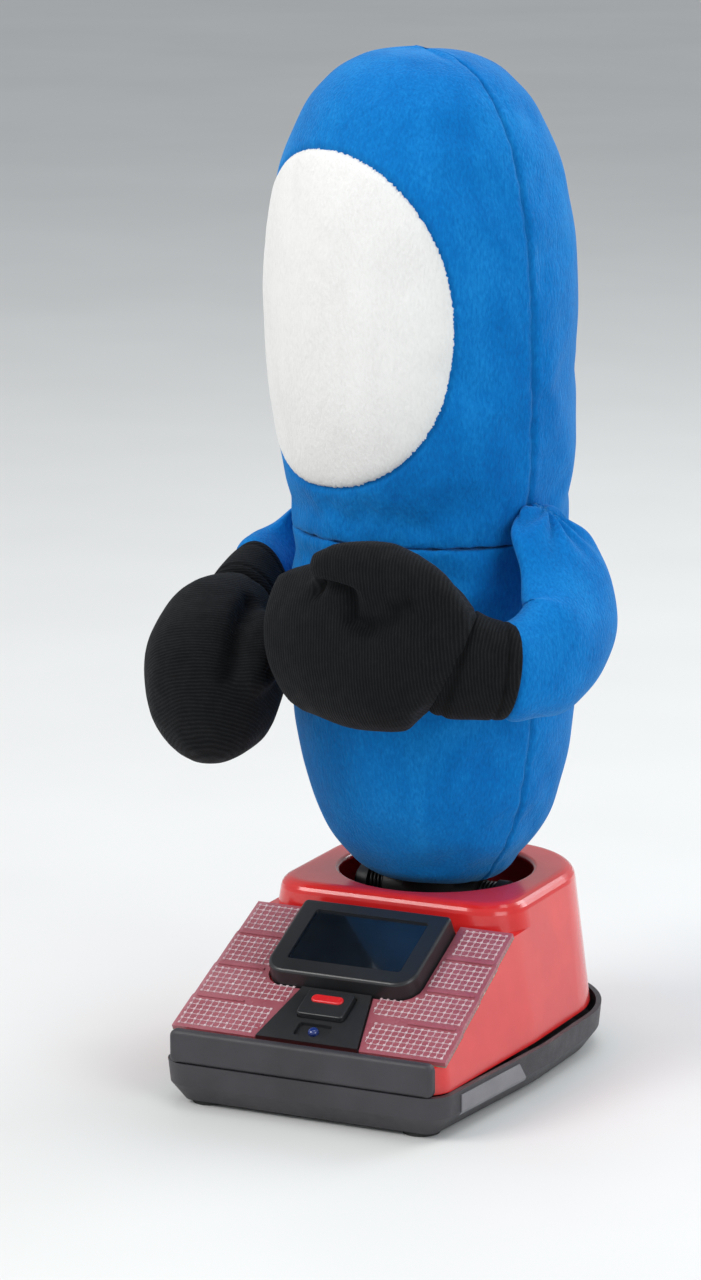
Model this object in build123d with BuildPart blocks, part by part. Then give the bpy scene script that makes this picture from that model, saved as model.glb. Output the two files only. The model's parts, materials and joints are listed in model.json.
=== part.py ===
"""Tabletop punch game: a stuffed boxing figure on a sprung post above a scoring base.

Millimetres. The origin lies on the table, straight below the post's pivot.
+Z is up, the figure faces -Y, and +X is the figure's own left.
"""

from build123d import *
from math import cos, radians, sin
import os

os.makedirs("parts", exist_ok=True)

# ---- driving dimensions: base ---------------------------------------------
PAD_H = 2.0  # rubber pads under the tray
TRAY_TOP = 20.0
COLLAR_TOP = 80.0
WALL = 2.4
HOLE_R = 43.0  # round opening that the figure rises from
HOLE_Y = 1.0
REAR_Y = 58.0
FRONT_Y = -134.0
COLLAR_FRONT_Y = -51.0
SHELL_HALF_LOW = 69.0  # half width of the red shell at the tray
SHELL_HALF_HIGH = 58.0  # and at the collar
EDGE_ROLL = 5.0  # rounding of the collar's top edge
TRAY_HALF = 75.0  # half width of the tray at its widest
TRAY_HALF_FRONT = 66.0
TRAY_STEP = 4.0  # how far the tray stands out beyond the shell
TRAY_MID_Z = 10.0
TRAY_TUCK = 7.0  # how far its foot is drawn in
MID_Y = -45.0  # widest point of the sides
MID_R = 120.0

# ---- driving dimensions: sloping deck --------------------------------------
DECK_ANGLE = 25.0
DECK_Y = -53.0  # top edge of the deck
DECK_Z = 70.0
DECK_LENGTH = 86.0
COVER_T = 2.6
HOUSING_W = 72.0
HOUSING_L = 49.0
HOUSING_RISE = 8.0
HOUSING_CORNER = 10.0
NECK_HALF = 16.5  # console panel below the display
NECK_FLARE = 24.0
KEY_W = 22.0
KEY_L = 16.0
KEY_TRAVEL = 1.5
GAP = 0.3  # clearance around the moving keys
NECK_TOP = -HOUSING_L - 2.4
KEY_Y = NECK_TOP - 11.0

# ---- driving dimensions: figure --------------------------------------------
FIGURE_H = 364.0  # above the collar
NECK_H = 156.0  # neck seam above the collar
PIVOT_Z = 70.0
TILT_MAX = 22.0
AXLE_R = 3.0
RUNNING_FIT = 0.05
POST_R = 11.0
FOAM_R = 29.0
HUB_R = 9.0
BRACKET_X = 31.0
BRACKET_T = 5.0

# deck frame: x across, y up the slope, z out of the deck
slope_normal = (0, -sin(radians(DECK_ANGLE)), cos(radians(DECK_ANGLE)))
DECK = Plane(origin=(0, DECK_Y, DECK_Z), x_dir=(1, 0, 0), z_dir=slope_normal)


def save(part, name):
    """Label a finished sub-part and write it."""
    part.label = name
    export_step(part, f"parts/{name}.step")


def plan_outline(half_mid, half_front, rear, front, grow=0.0):
    """Plan of the base: straight front, gently bowed sides, round rear."""
    with BuildLine() as line:
        Polyline(
            (-half_front - grow, front - grow),
            (half_front + grow, front - grow),
            (half_mid + grow, MID_Y),
            (half_mid + grow, rear + grow),
            (-half_mid - grow, rear + grow),
            (-half_mid - grow, MID_Y),
            close=True,
        )
    with BuildSketch(Plane.XY) as sketch:
        add(line.line)
        make_face()
        fillet(sketch.vertices().sort_by(Axis.Y)[-2:], radius=half_mid - 14 + grow)
        fillet(sketch.vertices().sort_by(Axis.Y)[:2], radius=12 + grow)
        fillet(sketch.vertices().filter_by_position(Axis.Y, MID_Y - 1, MID_Y + 1), radius=MID_R)
    return sketch.sketch


def tray_body(grow):
    """Outside of the tray, tucked under towards the table."""
    rear = REAR_Y + TRAY_STEP
    front = FRONT_Y - TRAY_STEP
    with BuildPart(mode=Mode.PRIVATE) as body:
        for z, tuck in ((PAD_H, TRAY_TUCK), (TRAY_MID_Z, 1), (TRAY_TOP, 0)):
            outline = plan_outline(TRAY_HALF, TRAY_HALF_FRONT, rear, front, grow - tuck)
            add(Plane.XY.offset(z) * outline)
        loft(ruled=True)
    return body.part


def shell_body(grow):
    """Outside of the red shell before its deck and hole are cut."""
    low = plan_outline(SHELL_HALF_LOW, 64, REAR_Y, FRONT_Y, grow)
    high = plan_outline(SHELL_HALF_HIGH, 56, REAR_Y - 2, FRONT_Y, grow)
    with BuildPart(mode=Mode.PRIVATE) as body:
        add(Plane.XY.offset(TRAY_TOP) * low)
        add(Plane.XY.offset(COLLAR_TOP) * high)
        loft(ruled=True)
    return body.part


# ============================ base: housing =================================
BATTERY_Y = -92.0  # centre of the battery compartment
DOOR_W = 58.0
DOOR_L = 50.0
SWITCH_X = -52.0
SPEAKER_X = 48.0
FLOOR_TOP = PAD_H + WALL
SCREW_SPOTS = [(-56, -112), (56, -112), (-60, -45), (60, -45), (-32, 38), (32, 38)]
INSET_Y = (-121.0, -62.0)


def inset_block(side):
    """Slanted window in the tray's side near the front."""
    y0, y1 = INSET_Y
    with BuildPart(mode=Mode.PRIVATE) as block:
        with BuildSketch(Plane.YZ.offset(50 * side)):
            Polygon((y0 + 3, 8), (y1, 8), (y1 - 9, 18), (y0 + 1, 18), align=None)
        extrude(amount=60 * side)
    return block.part


with BuildPart() as bottom_tray:
    add(tray_body(0))
    with BuildPart(mode=Mode.PRIVATE) as tray_hollow:
        add(tray_body(-WALL))
        split(bisect_by=Plane.XY.offset(FLOOR_TOP), keep=Keep.TOP)
    add(tray_hollow.part, mode=Mode.SUBTRACT)
    # posts for the case screws
    with BuildSketch(Plane.XY.offset(FLOOR_TOP)):
        with Locations(SCREW_SPOTS):
            Circle(4.5)
    extrude(amount=TRAY_TOP - FLOOR_TOP)
    # battery opening, speaker slots and switch slot through the floor
    with Locations((0, BATTERY_Y, 0)):
        Box(DOOR_W, DOOR_L, 4 * WALL + 4, mode=Mode.SUBTRACT)
    with Locations(*[(SPEAKER_X, -92 + 5 * step, PAD_H) for step in range(-2, 3)]):
        Box(20, 2, 3 * WALL, mode=Mode.SUBTRACT)
    with Locations((SWITCH_X, -84, PAD_H)):
        Box(6, 13, 3 * WALL, mode=Mode.SUBTRACT)
    # screw holes from below
    with Locations(*[(x, y, PAD_H) for x, y in SCREW_SPOTS]):
        Cylinder(1.6, 60, mode=Mode.SUBTRACT)
        Cylinder(3.4, 12, mode=Mode.SUBTRACT)
    for side in (-1, 1):
        add(inset_block(side) - tray_body(-1.2), mode=Mode.SUBTRACT)
save(bottom_tray.part, "bottom_tray")

for side, name in ((-1, "side_inset_right"), (1, "side_inset_left")):
    with BuildPart() as side_inset:
        add(inset_block(side))
        add(tray_body(0.5), mode=Mode.INTERSECT)
        add(tray_body(-1.2), mode=Mode.SUBTRACT)
    save(side_inset.part, name)


SHELF_Z = DECK_Z - COVER_T  # the shell's level where the collar meets the deck


def collar_outline(height, grow):
    """Plan of the collar: straight front with rounded corners, round rear."""
    share = (height - TRAY_TOP) / (COLLAR_TOP - TRAY_TOP)
    half = SHELL_HALF_LOW + (SHELL_HALF_HIGH - SHELL_HALF_LOW) * share + grow
    rear = REAR_Y - 2 * share + grow
    front = COLLAR_FRONT_Y - grow
    with BuildSketch(Plane.XY) as sketch:
        with Locations((0, (rear + front) / 2)):
            Rectangle(2 * half, rear - front)
        fillet(sketch.vertices().sort_by(Axis.Y)[-2:], radius=half - 14)
        fillet(sketch.vertices().sort_by(Axis.Y)[:2], radius=20 + grow)
    return sketch.sketch


def collar_body(grow):
    """Collar with its top edge rolled over in a quarter round."""
    steps = 5
    with BuildPart(mode=Mode.PRIVATE) as body:
        base_z = SHELF_Z - 8
        add(Plane.XY.offset(base_z) * collar_outline(base_z, grow))
        for step in range(steps + 1):
            angle = radians(90 * step / steps)
            z = COLLAR_TOP - EDGE_ROLL * (1 - sin(angle))
            inset = EDGE_ROLL * (1 - cos(angle))
            add(Plane.XY.offset(z) * collar_outline(z, grow - inset))
        loft(ruled=True)
    return body.part


def above_deck(height):
    """Everything above the deck, from the given height over its plane."""
    with BuildPart(mode=Mode.PRIVATE) as block:
        with BuildSketch(DECK.offset(height)):
            with Locations((0, -70)):
                Rectangle(200, 140)
        extrude(amount=120)
    return block.part


with BuildPart() as red_shell:
    add(shell_body(0))
    split(bisect_by=Plane.XY.offset(SHELF_Z), keep=Keep.BOTTOM)
    add(above_deck(-COVER_T), mode=Mode.SUBTRACT)
    add(collar_body(0))
    # hollow it from below, leaving the collar's top
    with BuildPart(mode=Mode.PRIVATE) as hollow:
        add(shell_body(-WALL))
        split(bisect_by=Plane.XY.offset(SHELF_Z - WALL), keep=Keep.BOTTOM)
        add(above_deck(-COVER_T - WALL), mode=Mode.SUBTRACT)
        add(Plane.XY.offset(SHELF_Z - 8) * collar_outline(SHELF_Z, -WALL - 1))
        extrude(amount=COLLAR_TOP - WALL - SHELF_Z + 8)
    add(hollow.part, mode=Mode.SUBTRACT)
    with Locations((0, HOLE_Y, COLLAR_TOP)):
        Cylinder(HOLE_R, 40, mode=Mode.SUBTRACT)
    rim = red_shell.edges().filter_by(GeomType.CIRCLE).filter_by_position(
        Axis.Z, COLLAR_TOP - 0.1, COLLAR_TOP + 0.1)
    fillet(rim, radius=2)
    # windows in the deck floor for the lights, the display and the key
    with BuildSketch(DECK.offset(-COVER_T)):
        for x in (-47, 47):
            with Locations((x, -42)):
                Rectangle(14, 62)
        with Locations((0, -HOUSING_L / 2 - 2)):
            Rectangle(60, 36)
        with Locations((0, KEY_Y)):
            Rectangle(12, 12)
    extrude(amount=-3 * WALL, mode=Mode.SUBTRACT)
save(red_shell.part, "red_shell")

FRONT_TOP = DECK_Z - DECK_LENGTH * sin(radians(DECK_ANGLE)) + 1.0
LIP_W = 124.0
with BuildPart() as front_lip:
    with BuildSketch(Plane.XZ.offset(-FRONT_Y)):
        with Locations((0, (TRAY_TOP + FRONT_TOP) / 2)):
            RectangleRounded(LIP_W, FRONT_TOP - TRAY_TOP, 3)
    extrude(amount=TRAY_STEP)
    fillet(front_lip.edges().filter_by(Axis.X).sort_by(Axis.Z)[-2:].sort_by(Axis.Y)[0], 2)
save(front_lip.part, "front_lip")

with BuildPart() as rubber_pads:
    with BuildSketch(Plane.XY):
        with Locations((0, 0), (-50, -122), (50, -122), (-36, 34), (36, 34)):
            Circle(8)
    extrude(amount=PAD_H)
save(rubber_pads.part, "rubber_pads")

with BuildPart() as case_screws:
    for x, y in SCREW_SPOTS:
        with Locations((x, y, 6)):
            Cylinder(3.0, 2.0)
        with Locations((x, y, 13)):
            Cylinder(1.5, 12.0)
save(case_screws.part, "case_screws")

with BuildPart() as ballast_plate:
    with BuildSketch(Plane.XY.offset(FLOOR_TOP)):
        with Locations((0, -38)):
            RectangleRounded(88, 26, 4)
    extrude(amount=8)
save(ballast_plate.part, "ballast_plate")

# ============================ base: battery bay =============================
CELL_R = 7.1
CELL_L = 50.0
CELL_Z = 13.0
with BuildPart() as battery_box:
    with Locations((0, BATTERY_Y, FLOOR_TOP + 9)):
        Box(DOOR_W + 4, DOOR_L + 4, 18)
        Box(DOOR_W, DOOR_L, 30, mode=Mode.SUBTRACT)
    with Locations((0, BATTERY_Y, FLOOR_TOP + 17)):
        Box(DOOR_W + 4, DOOR_L + 4, 2)
save(battery_box.part, "battery_box")

with BuildPart() as battery_door:
    with Locations((0, BATTERY_Y, PAD_H + WALL / 2)):
        Box(DOOR_W - 0.6, DOOR_L - 0.6, WALL)
save(battery_door.part, "battery_door")

with BuildPart() as batteries:
    with Locations(*[(0, BATTERY_Y + 16 * step, CELL_Z) for step in (-1, 0, 1)]):
        Cylinder(CELL_R, CELL_L, rotation=(0, 90, 0))
save(batteries.part, "batteries")

with BuildPart() as battery_contacts:
    for side in (-1, 1):
        with Locations(*[(side * 26.5, BATTERY_Y + 16 * step, CELL_Z) for step in (-1, 0, 1)]):
            Box(3.0, 10, 10)
save(battery_contacts.part, "battery_contacts")

# ============================ base: electronics =============================
with BuildPart() as main_board:
    with Locations((0, -84, 25)):
        Box(96, 60, 1.6)
save(main_board.part, "main_board")

with BuildPart() as board_chips:
    with BuildSketch(Plane.XY.offset(25.8)):
        for x, y, w in ((-30, -80, 12), (0, -76, 16), (28, -92, 9), (34, -66, 9)):
            with Locations((x, y)):
                Rectangle(w, w)
    extrude(amount=2)
save(board_chips.part, "board_chips")

with BuildPart() as speaker:
    with Locations((SPEAKER_X, -92, FLOOR_TOP + 1)):
        Cylinder(13, 2)
    with Locations((SPEAKER_X, -92, FLOOR_TOP + 4.5)):
        Cylinder(8, 5)
save(speaker.part, "speaker")

with BuildPart() as power_switch:
    with Locations((SWITCH_X, -84 - 2.5, PAD_H + 1.6)):
        Box(5.4, 5, 3.0)
    with Locations((SWITCH_X, -84 - 2.5, FLOOR_TOP + 1.2)):
        Box(9, 8, 1.4)
save(power_switch.part, "power_switch")

with BuildPart() as switch_body:
    with Locations((SWITCH_X, -84, FLOOR_TOP + 5.5)):
        Box(12, 24, 6.4)
save(switch_body.part, "switch_body")

# ============================ base: deck ====================================


def deck_side_outline(side, inner):
    """One side of the deck, around the display and the console panel."""
    edge = 61.5
    rows = 4
    row = DECK_LENGTH / rows
    points = [(inner, 0)]
    for step in range(rows):
        x = edge + 0.9 * step
        points.append((x, -row * step))
        points.append((x + 0.4, -row * (step + 1) + 1.2))
    # up the console panel, then round the display's front corner
    reach = HOUSING_CORNER + 0.9
    corner_x = HOUSING_W / 2 - HOUSING_CORNER
    corner_y = -2 - HOUSING_L + HOUSING_CORNER
    points += [(NECK_FLARE + 0.6, -DECK_LENGTH + 1), (NECK_HALF + 0.6, corner_y - reach)]
    for turn in (90, 67.5, 45, 22.5):
        angle = radians(turn)
        points.append((corner_x + reach * cos(angle), corner_y - reach * sin(angle)))
    points += [(inner, corner_y)]
    return [(side * x, y) for x, y in points]


for side, name in ((-1, "right"), (1, "left")):
    with BuildPart() as circuit_card:
        with BuildSketch(DECK.offset(-COVER_T)):
            Polygon(*deck_side_outline(side, HOUSING_W / 2 + 0.6), align=None)
        extrude(amount=0.5)
    save(circuit_card.part, f"circuit_card_{name}")

    with BuildPart() as deck_cover:
        with BuildSketch(DECK.offset(-COVER_T + 0.5)):
            Polygon(*deck_side_outline(side, HOUSING_W / 2 + 0.6), align=None)
        extrude(amount=COVER_T - 0.5)
        # raised strips between the panels
        for step in (1, 2, 3):
            with BuildSketch(DECK):
                with Locations((side * 50, -DECK_LENGTH / 4 * step)):
                    Rectangle(22, 1.2)
            extrude(amount=0.8)
    save(deck_cover.part, f"deck_cover_{name}")

with BuildPart() as deck_lights:
    with BuildSketch(DECK.offset(-COVER_T)):
        with Locations(*[(x, y) for x in (-47, 47) for y in (-20, -42, -64)]):
            Rectangle(3.5, 3.5)
    extrude(amount=-1.2)
save(deck_lights.part, "deck_lights")

with BuildPart() as display_housing:
    with BuildSketch(DECK.offset(-COVER_T)) as housing_plan:
        with Locations((0, -2 - HOUSING_L / 2)):
            Rectangle(HOUSING_W, HOUSING_L)
        fillet(housing_plan.vertices().group_by(Axis.Y)[0], HOUSING_CORNER)
        fillet(housing_plan.vertices().group_by(Axis.Y)[-1], 3)
    extrude(amount=COVER_T + HOUSING_RISE, taper=4)
    fillet(display_housing.faces().sort_by(Axis.Z)[-1].edges(), 1.6)
    with BuildSketch(DECK.offset(HOUSING_RISE)):
        with Locations((0, -1 - HOUSING_L / 2)):
            RectangleRounded(54, 33, 1.5)
    extrude(amount=-(HOUSING_RISE + COVER_T), mode=Mode.SUBTRACT)
save(display_housing.part, "display_housing")

with BuildPart() as display_window:
    with BuildSketch(DECK.offset(HOUSING_RISE - 2.2)):
        with Locations((0, -1 - HOUSING_L / 2)):
            RectangleRounded(54, 33, 1.5)
    extrude(amount=1.2)
save(display_window.part, "display_window")

with BuildPart() as display_board:
    with BuildSketch(DECK.offset(-COVER_T)):
        with Locations((0, -1 - HOUSING_L / 2)):
            Rectangle(53, 32)
    extrude(amount=1.6)
save(display_board.part, "display_board")

with BuildPart() as digit_blocks:
    with BuildSketch(DECK.offset(-COVER_T + 1.6)):
        with Locations(*[(16.5 * step, -1 - HOUSING_L / 2) for step in (-1, 0, 1)]):
            Rectangle(15.5, 26)
    extrude(amount=5.6)
save(digit_blocks.part, "digit_blocks")

DIGIT_TOP = -COVER_T + 1.6 + 5.6
with BuildPart() as digit_segments:
    with BuildSketch(DECK.offset(DIGIT_TOP)):
        for step in (-1, 0, 1):
            x = 16.5 * step
            y = -1 - HOUSING_L / 2
            with Locations((x, y - 10), (x, y), (x, y + 10)):
                SlotOverall(7.5, 2.0)
            with Locations(*[(x + dx, y + dy) for dx in (-5, 5) for dy in (-5, 5)]):
                SlotOverall(7.5, 2.0, rotation=90)
    extrude(amount=0.5)
save(digit_segments.part, "digit_segments")

with BuildPart() as console_panel:
    with BuildSketch(DECK.offset(-COVER_T)):
        Polygon(
            (-NECK_HALF, NECK_TOP), (NECK_HALF, NECK_TOP),
            (NECK_FLARE, -DECK_LENGTH + 1), (-NECK_FLARE, -DECK_LENGTH + 1), align=None)
    extrude(amount=COVER_T + 1.2)
    with BuildSketch(DECK.offset(1.2)):
        with Locations((0, KEY_Y)):
            RectangleRounded(KEY_W + 2 * GAP, KEY_L + 2 * GAP, 2)
    extrude(amount=-COVER_T - 1.2, mode=Mode.SUBTRACT)
    # shallow well for the signal light
    with BuildSketch(DECK.offset(1.2)):
        with Locations((0, KEY_Y - 15)):
            RectangleRounded(16, 8, 1.5)
    extrude(amount=-1.6, mode=Mode.SUBTRACT)
save(console_panel.part, "console_panel")

with BuildPart() as mode_key:
    with BuildSketch(DECK.offset(-COVER_T + KEY_TRAVEL + 0.2)):
        with Locations((0, KEY_Y)):
            RectangleRounded(KEY_W, KEY_L, 2)
    extrude(amount=4.6)
    fillet(mode_key.faces().sort_by(Axis.Z)[-1].edges(), 0.6)
    with BuildSketch(DECK.offset(3.7)):
        with Locations((0, KEY_Y + 2)):
            SlotOverall(15, 4.6)
    extrude(amount=-1.0, mode=Mode.SUBTRACT)
save(mode_key.part, "mode_key")

with BuildPart() as key_bar:
    with BuildSketch(DECK.offset(2.7)):
        with Locations((0, KEY_Y + 2)):
            SlotOverall(15, 4.6)
    extrude(amount=1.8)
    fillet(key_bar.faces().sort_by(Axis.Z)[-1].edges(), 0.7)
save(key_bar.part, "key_bar")

with BuildPart() as key_spring:
    spring_top = -COVER_T + KEY_TRAVEL + 0.2
    with BuildSketch(DECK.offset(spring_top - 4.0)):
        with Locations((0, KEY_Y)):
            Circle(3.6)
            Circle(2.6, mode=Mode.SUBTRACT)
    extrude(amount=4.0)
save(key_spring.part, "key_spring")

with BuildPart() as signal_light:
    with BuildSketch(DECK.offset(-0.4)):
        with Locations((0, KEY_Y - 15)):
            Circle(2.4)
    extrude(amount=2.2)
    fillet(signal_light.faces().sort_by(Axis.Z)[-1].edges(), 1.6)
save(signal_light.part, "signal_light")

# ============================ base: pivot ===================================
for side, name in ((-1, "pivot_bracket_right"), (1, "pivot_bracket_left")):
    with BuildPart() as pivot_bracket:
        with BuildSketch(Plane.YZ.offset(side * BRACKET_X)):
            with BuildLine():
                Polyline((15, FLOOR_TOP), (7, PIVOT_Z), (-7, PIVOT_Z), (-15, FLOOR_TOP), close=True)
            make_face()
            with Locations((0, PIVOT_Z)):
                Circle(7)
        extrude(amount=side * BRACKET_T)
        with BuildSketch(Plane.XY.offset(FLOOR_TOP)):
            with Locations((side * (BRACKET_X + 10), 0)):
                Rectangle(20, 30)
        extrude(amount=4)
        with Locations((side * (BRACKET_X + BRACKET_T / 2), 0, PIVOT_Z)):
            Cylinder(AXLE_R, 3 * BRACKET_T, rotation=(0, 90, 0), mode=Mode.SUBTRACT)
        with Locations((side * (BRACKET_X + 13), 8, FLOOR_TOP), (side * (BRACKET_X + 13), -8, FLOOR_TOP)):
            Cylinder(1.8, 20, mode=Mode.SUBTRACT)
    save(pivot_bracket.part, name)

with BuildPart() as bracket_screws:
    for side in (-1, 1):
        for y in (-8, 8):
            with Locations((side * (BRACKET_X + 13), y, FLOOR_TOP + 2)):
                Cylinder(1.8, 4)
            with Locations((side * (BRACKET_X + 13), y, FLOOR_TOP + 5)):
                Cylinder(3.4, 2)
save(bracket_screws.part, "bracket_screws")

AXLE_L = 2 * (BRACKET_X + BRACKET_T) + 4
with BuildPart() as pivot_axle:
    with Locations((0, 0, PIVOT_Z)):
        Cylinder(AXLE_R, AXLE_L, rotation=(0, 90, 0))
save(pivot_axle.part, "pivot_axle")

with BuildPart() as axle_clips:
    for side in (-1, 1):
        with Locations((side * (AXLE_L / 2 - 1), 0, PIVOT_Z)):
            Cylinder(5, 1, rotation=(0, 90, 0))
            Cylinder(AXLE_R, 4, rotation=(0, 90, 0), mode=Mode.SUBTRACT)
save(axle_clips.part, "axle_clips")

SPRING_X = 26.5
SPRING_R = 5.2
WIRE_R = 0.8
SPRING_TURNS = 3.5
SPRING_PITCH = 1.8
for side, name in ((-1, "return_spring_right"), (1, "return_spring_left")):
    with BuildPart() as return_spring:
        length = SPRING_PITCH * SPRING_TURNS
        start = (side * SPRING_X - length / 2, 0, PIVOT_Z)
        with BuildLine():
            coil = Helix(SPRING_PITCH, length, SPRING_R, center=start, direction=(1, 0, 0))
        with BuildSketch(Plane(origin=coil @ 0, z_dir=coil % 0)):
            Circle(WIRE_R)
        sweep(path=coil, is_frenet=True)
    save(return_spring.part, name)

# bumpers that the tail of the hub meets at each end of the swing
TAIL_X = 14.0
TAIL_HALF = 4.0
BUMPER_R = 4.0
BUMPER_DROP = 15.0
tilt = radians(TILT_MAX)
# along the tilted tail's front face, then out of it by the bumper's radius
front_reach = TAIL_HALF + BUMPER_R + 0.2
front_bumper = (
    -BUMPER_DROP * sin(tilt) - front_reach * cos(tilt),
    PIVOT_Z - BUMPER_DROP * cos(tilt) + front_reach * sin(tilt),
)
rear_bumper = (TAIL_HALF + BUMPER_R + 0.1, PIVOT_Z - BUMPER_DROP)
with BuildPart() as bumper_pins:
    for y, z in (front_bumper, rear_bumper):
        with Locations(((BRACKET_X + TAIL_X - 5) / 2, y, z)):
            Cylinder(1.5, BRACKET_X - TAIL_X + 5, rotation=(0, 90, 0))
save(bumper_pins.part, "bumper_pins")

with BuildPart() as rubber_bumpers:
    for y, z in (front_bumper, rear_bumper):
        with Locations((TAIL_X, y, z)):
            Cylinder(BUMPER_R, 9.8, rotation=(0, 90, 0))
            Cylinder(1.5, 20, rotation=(0, 90, 0), mode=Mode.SUBTRACT)
save(rubber_bumpers.part, "rubber_bumpers")

with BuildPart() as speed_sensor:
    with Locations((0, -4, 42)):
        Box(16, 14, 16)
        with Locations((0, 0, 4)):
            Box(4, 20, 16, mode=Mode.SUBTRACT)
    with Locations((0, -4, (FLOOR_TOP + 34) / 2)):
        Box(22, 16, 34 - FLOOR_TOP)
save(speed_sensor.part, "speed_sensor")

# ============================ figure: core ==================================
with BuildPart() as pivot_hub:
    with Locations((0, 0, PIVOT_Z)):
        Cylinder(HUB_R, 2 * 22, rotation=(0, 90, 0))
    with Locations((0, 0, PIVOT_Z + 10)):
        Cylinder(15, 16)
    with Locations((TAIL_X, 0, PIVOT_Z - 12)):
        Box(8, 2 * TAIL_HALF, 20)
    with Locations((0, 0, PIVOT_Z)):
        Cylinder(AXLE_R + RUNNING_FIT, 60, rotation=(0, 90, 0), mode=Mode.SUBTRACT)
    with Locations((0, 0, PIVOT_Z + 16)):
        Cylinder(POST_R, 12, mode=Mode.SUBTRACT)
save(pivot_hub.part, "pivot_hub")

VANE_R = 31.0
with BuildPart() as speed_vane:
    with BuildSketch(Plane.YZ.offset(-0.8)):
        with Locations((0, PIVOT_Z)):
            Circle(VANE_R)
            Circle(HUB_R, mode=Mode.SUBTRACT)
        with Locations((0, PIVOT_Z + 19 - 5)):
            Rectangle(100, 46, mode=Mode.SUBTRACT)
        for step in range(-3, 5):
            angle = radians(-90 + 8 * step)
            with Locations((27 * cos(angle), PIVOT_Z + 27 * sin(angle))):
                Rectangle(1.6, 5, rotation=8 * step, mode=Mode.SUBTRACT)
    extrude(amount=1.6)
    with BuildSketch(Plane.YZ.offset(-0.8)):
        with Locations((0, PIVOT_Z - 12)):
            Rectangle(14, 12)
        with Locations((0, PIVOT_Z)):
            Circle(HUB_R, mode=Mode.SUBTRACT)
    extrude(amount=1.6)
save(speed_vane.part, "speed_vane")

POST_BOTTOM = PIVOT_Z + 10.0
POST_TOP = COLLAR_TOP + 312.0
POST_WALL = 2.5
with BuildPart() as core_post:
    with BuildSketch(Plane.XY.offset(POST_BOTTOM)):
        Circle(POST_R)
        Circle(POST_R - POST_WALL, mode=Mode.SUBTRACT)
    extrude(amount=POST_TOP - POST_BOTTOM)
save(core_post.part, "core_post")

FOAM_BOTTOM = COLLAR_TOP + 14.0
FOAM_TOP = COLLAR_TOP + 316.0
with BuildPart() as foam_core:
    with BuildSketch(Plane.XY.offset(FOAM_BOTTOM)):
        Circle(FOAM_R)
    extrude(amount=FOAM_TOP - FOAM_BOTTOM)
    with Locations((0, 0, (FOAM_BOTTOM + POST_TOP) / 2)):
        Cylinder(POST_R, POST_TOP - FOAM_BOTTOM, mode=Mode.SUBTRACT)
save(foam_core.part, "foam_core")

# ============================ figure: stuffed body ==========================
# height above the collar, half width, front and back depth
BODY_SECTIONS = [
    (0.0, 31.0, 27.0, 27.0),
    (8.0, 38.5, 35.0, 32.5),
    (17.0, 46.0, 42.0, 36.0),
    (28.0, 52.0, 48.0, 45.0),
    (45.0, 57.5, 53.5, 51.0),
    (65.0, 61.5, 57.0, 54.0),
    (100.0, 63.5, 60.0, 55.0),
    (130.0, 63.0, 60.5, 53.5),
    (NECK_H, 61.5, 61.0, 51.0),
    (190.0, 65.5, 66.5, 52.5),
    (228.0, 68.0, 71.5, 52.0),
    (268.0, 68.0, 73.5, 50.0),
    (303.0, 64.0, 71.5, 45.0),
    (331.0, 55.0, 64.0, 36.0),
    (350.0, 42.0, 53.5, 24.0),
    (360.0, 28.0, 41.0, 10.5),
    (FIGURE_H, 14.0, 29.0, -2.0),
]


def stuffed_body(sections, grow=0.0):
    """Closed form through level ellipses."""
    with BuildPart(mode=Mode.PRIVATE) as body:
        for height, half_x, front, back in sections:
            with BuildSketch(Plane.XY.offset(COLLAR_TOP + height)):
                with Locations((0, (back - front) / 2)):
                    Ellipse(half_x + grow, (back + front) / 2 + grow)
        loft(ruled=True)
    return body.part


split_at = [row[0] for row in BODY_SECTIONS].index(NECK_H)
with BuildPart() as torso:
    add(stuffed_body(BODY_SECTIONS[:split_at + 1]))
    with BuildSketch(Plane.XY.offset(FOAM_BOTTOM)):
        Circle(FOAM_R)
    extrude(amount=2 * NECK_H, mode=Mode.SUBTRACT)
    with BuildSketch(Plane.XY.offset(PIVOT_Z)):
        Circle(15)
    extrude(amount=40, mode=Mode.SUBTRACT)
save(torso.part, "torso")

with BuildPart() as head:
    add(stuffed_body(BODY_SECTIONS[split_at:]))
    with Locations((0, 0, (COLLAR_TOP + FOAM_TOP) / 2)):
        Cylinder(FOAM_R, FOAM_TOP - COLLAR_TOP, mode=Mode.SUBTRACT)
save(head.part, "head")

FACE_LOW = 180.5
FACE_HIGH = 325.5
FACE_HALF = 57.0
FACE_TURN = radians(-23)  # the stuffed body stands turned on its post
face_across = (cos(FACE_TURN), sin(FACE_TURN), 0)
face_normal = (sin(FACE_TURN), -cos(FACE_TURN), 0)
FACE = Plane(origin=(0, 0, COLLAR_TOP), x_dir=face_across, z_dir=face_normal)
with BuildPart() as face_patch:
    add(stuffed_body(BODY_SECTIONS[split_at:], grow=1.0))
    with BuildSketch(FACE.offset(20)) as face_plan:
        with Locations((0, (FACE_LOW + FACE_HIGH) / 2)):
            Ellipse(FACE_HALF, (FACE_HIGH - FACE_LOW) / 2)
    extrude(amount=80, mode=Mode.INTERSECT)
    add(stuffed_body(BODY_SECTIONS[split_at:]), mode=Mode.SUBTRACT)
save(face_patch.part, "face_patch")

# ============================ figure: arms ==================================

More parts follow.
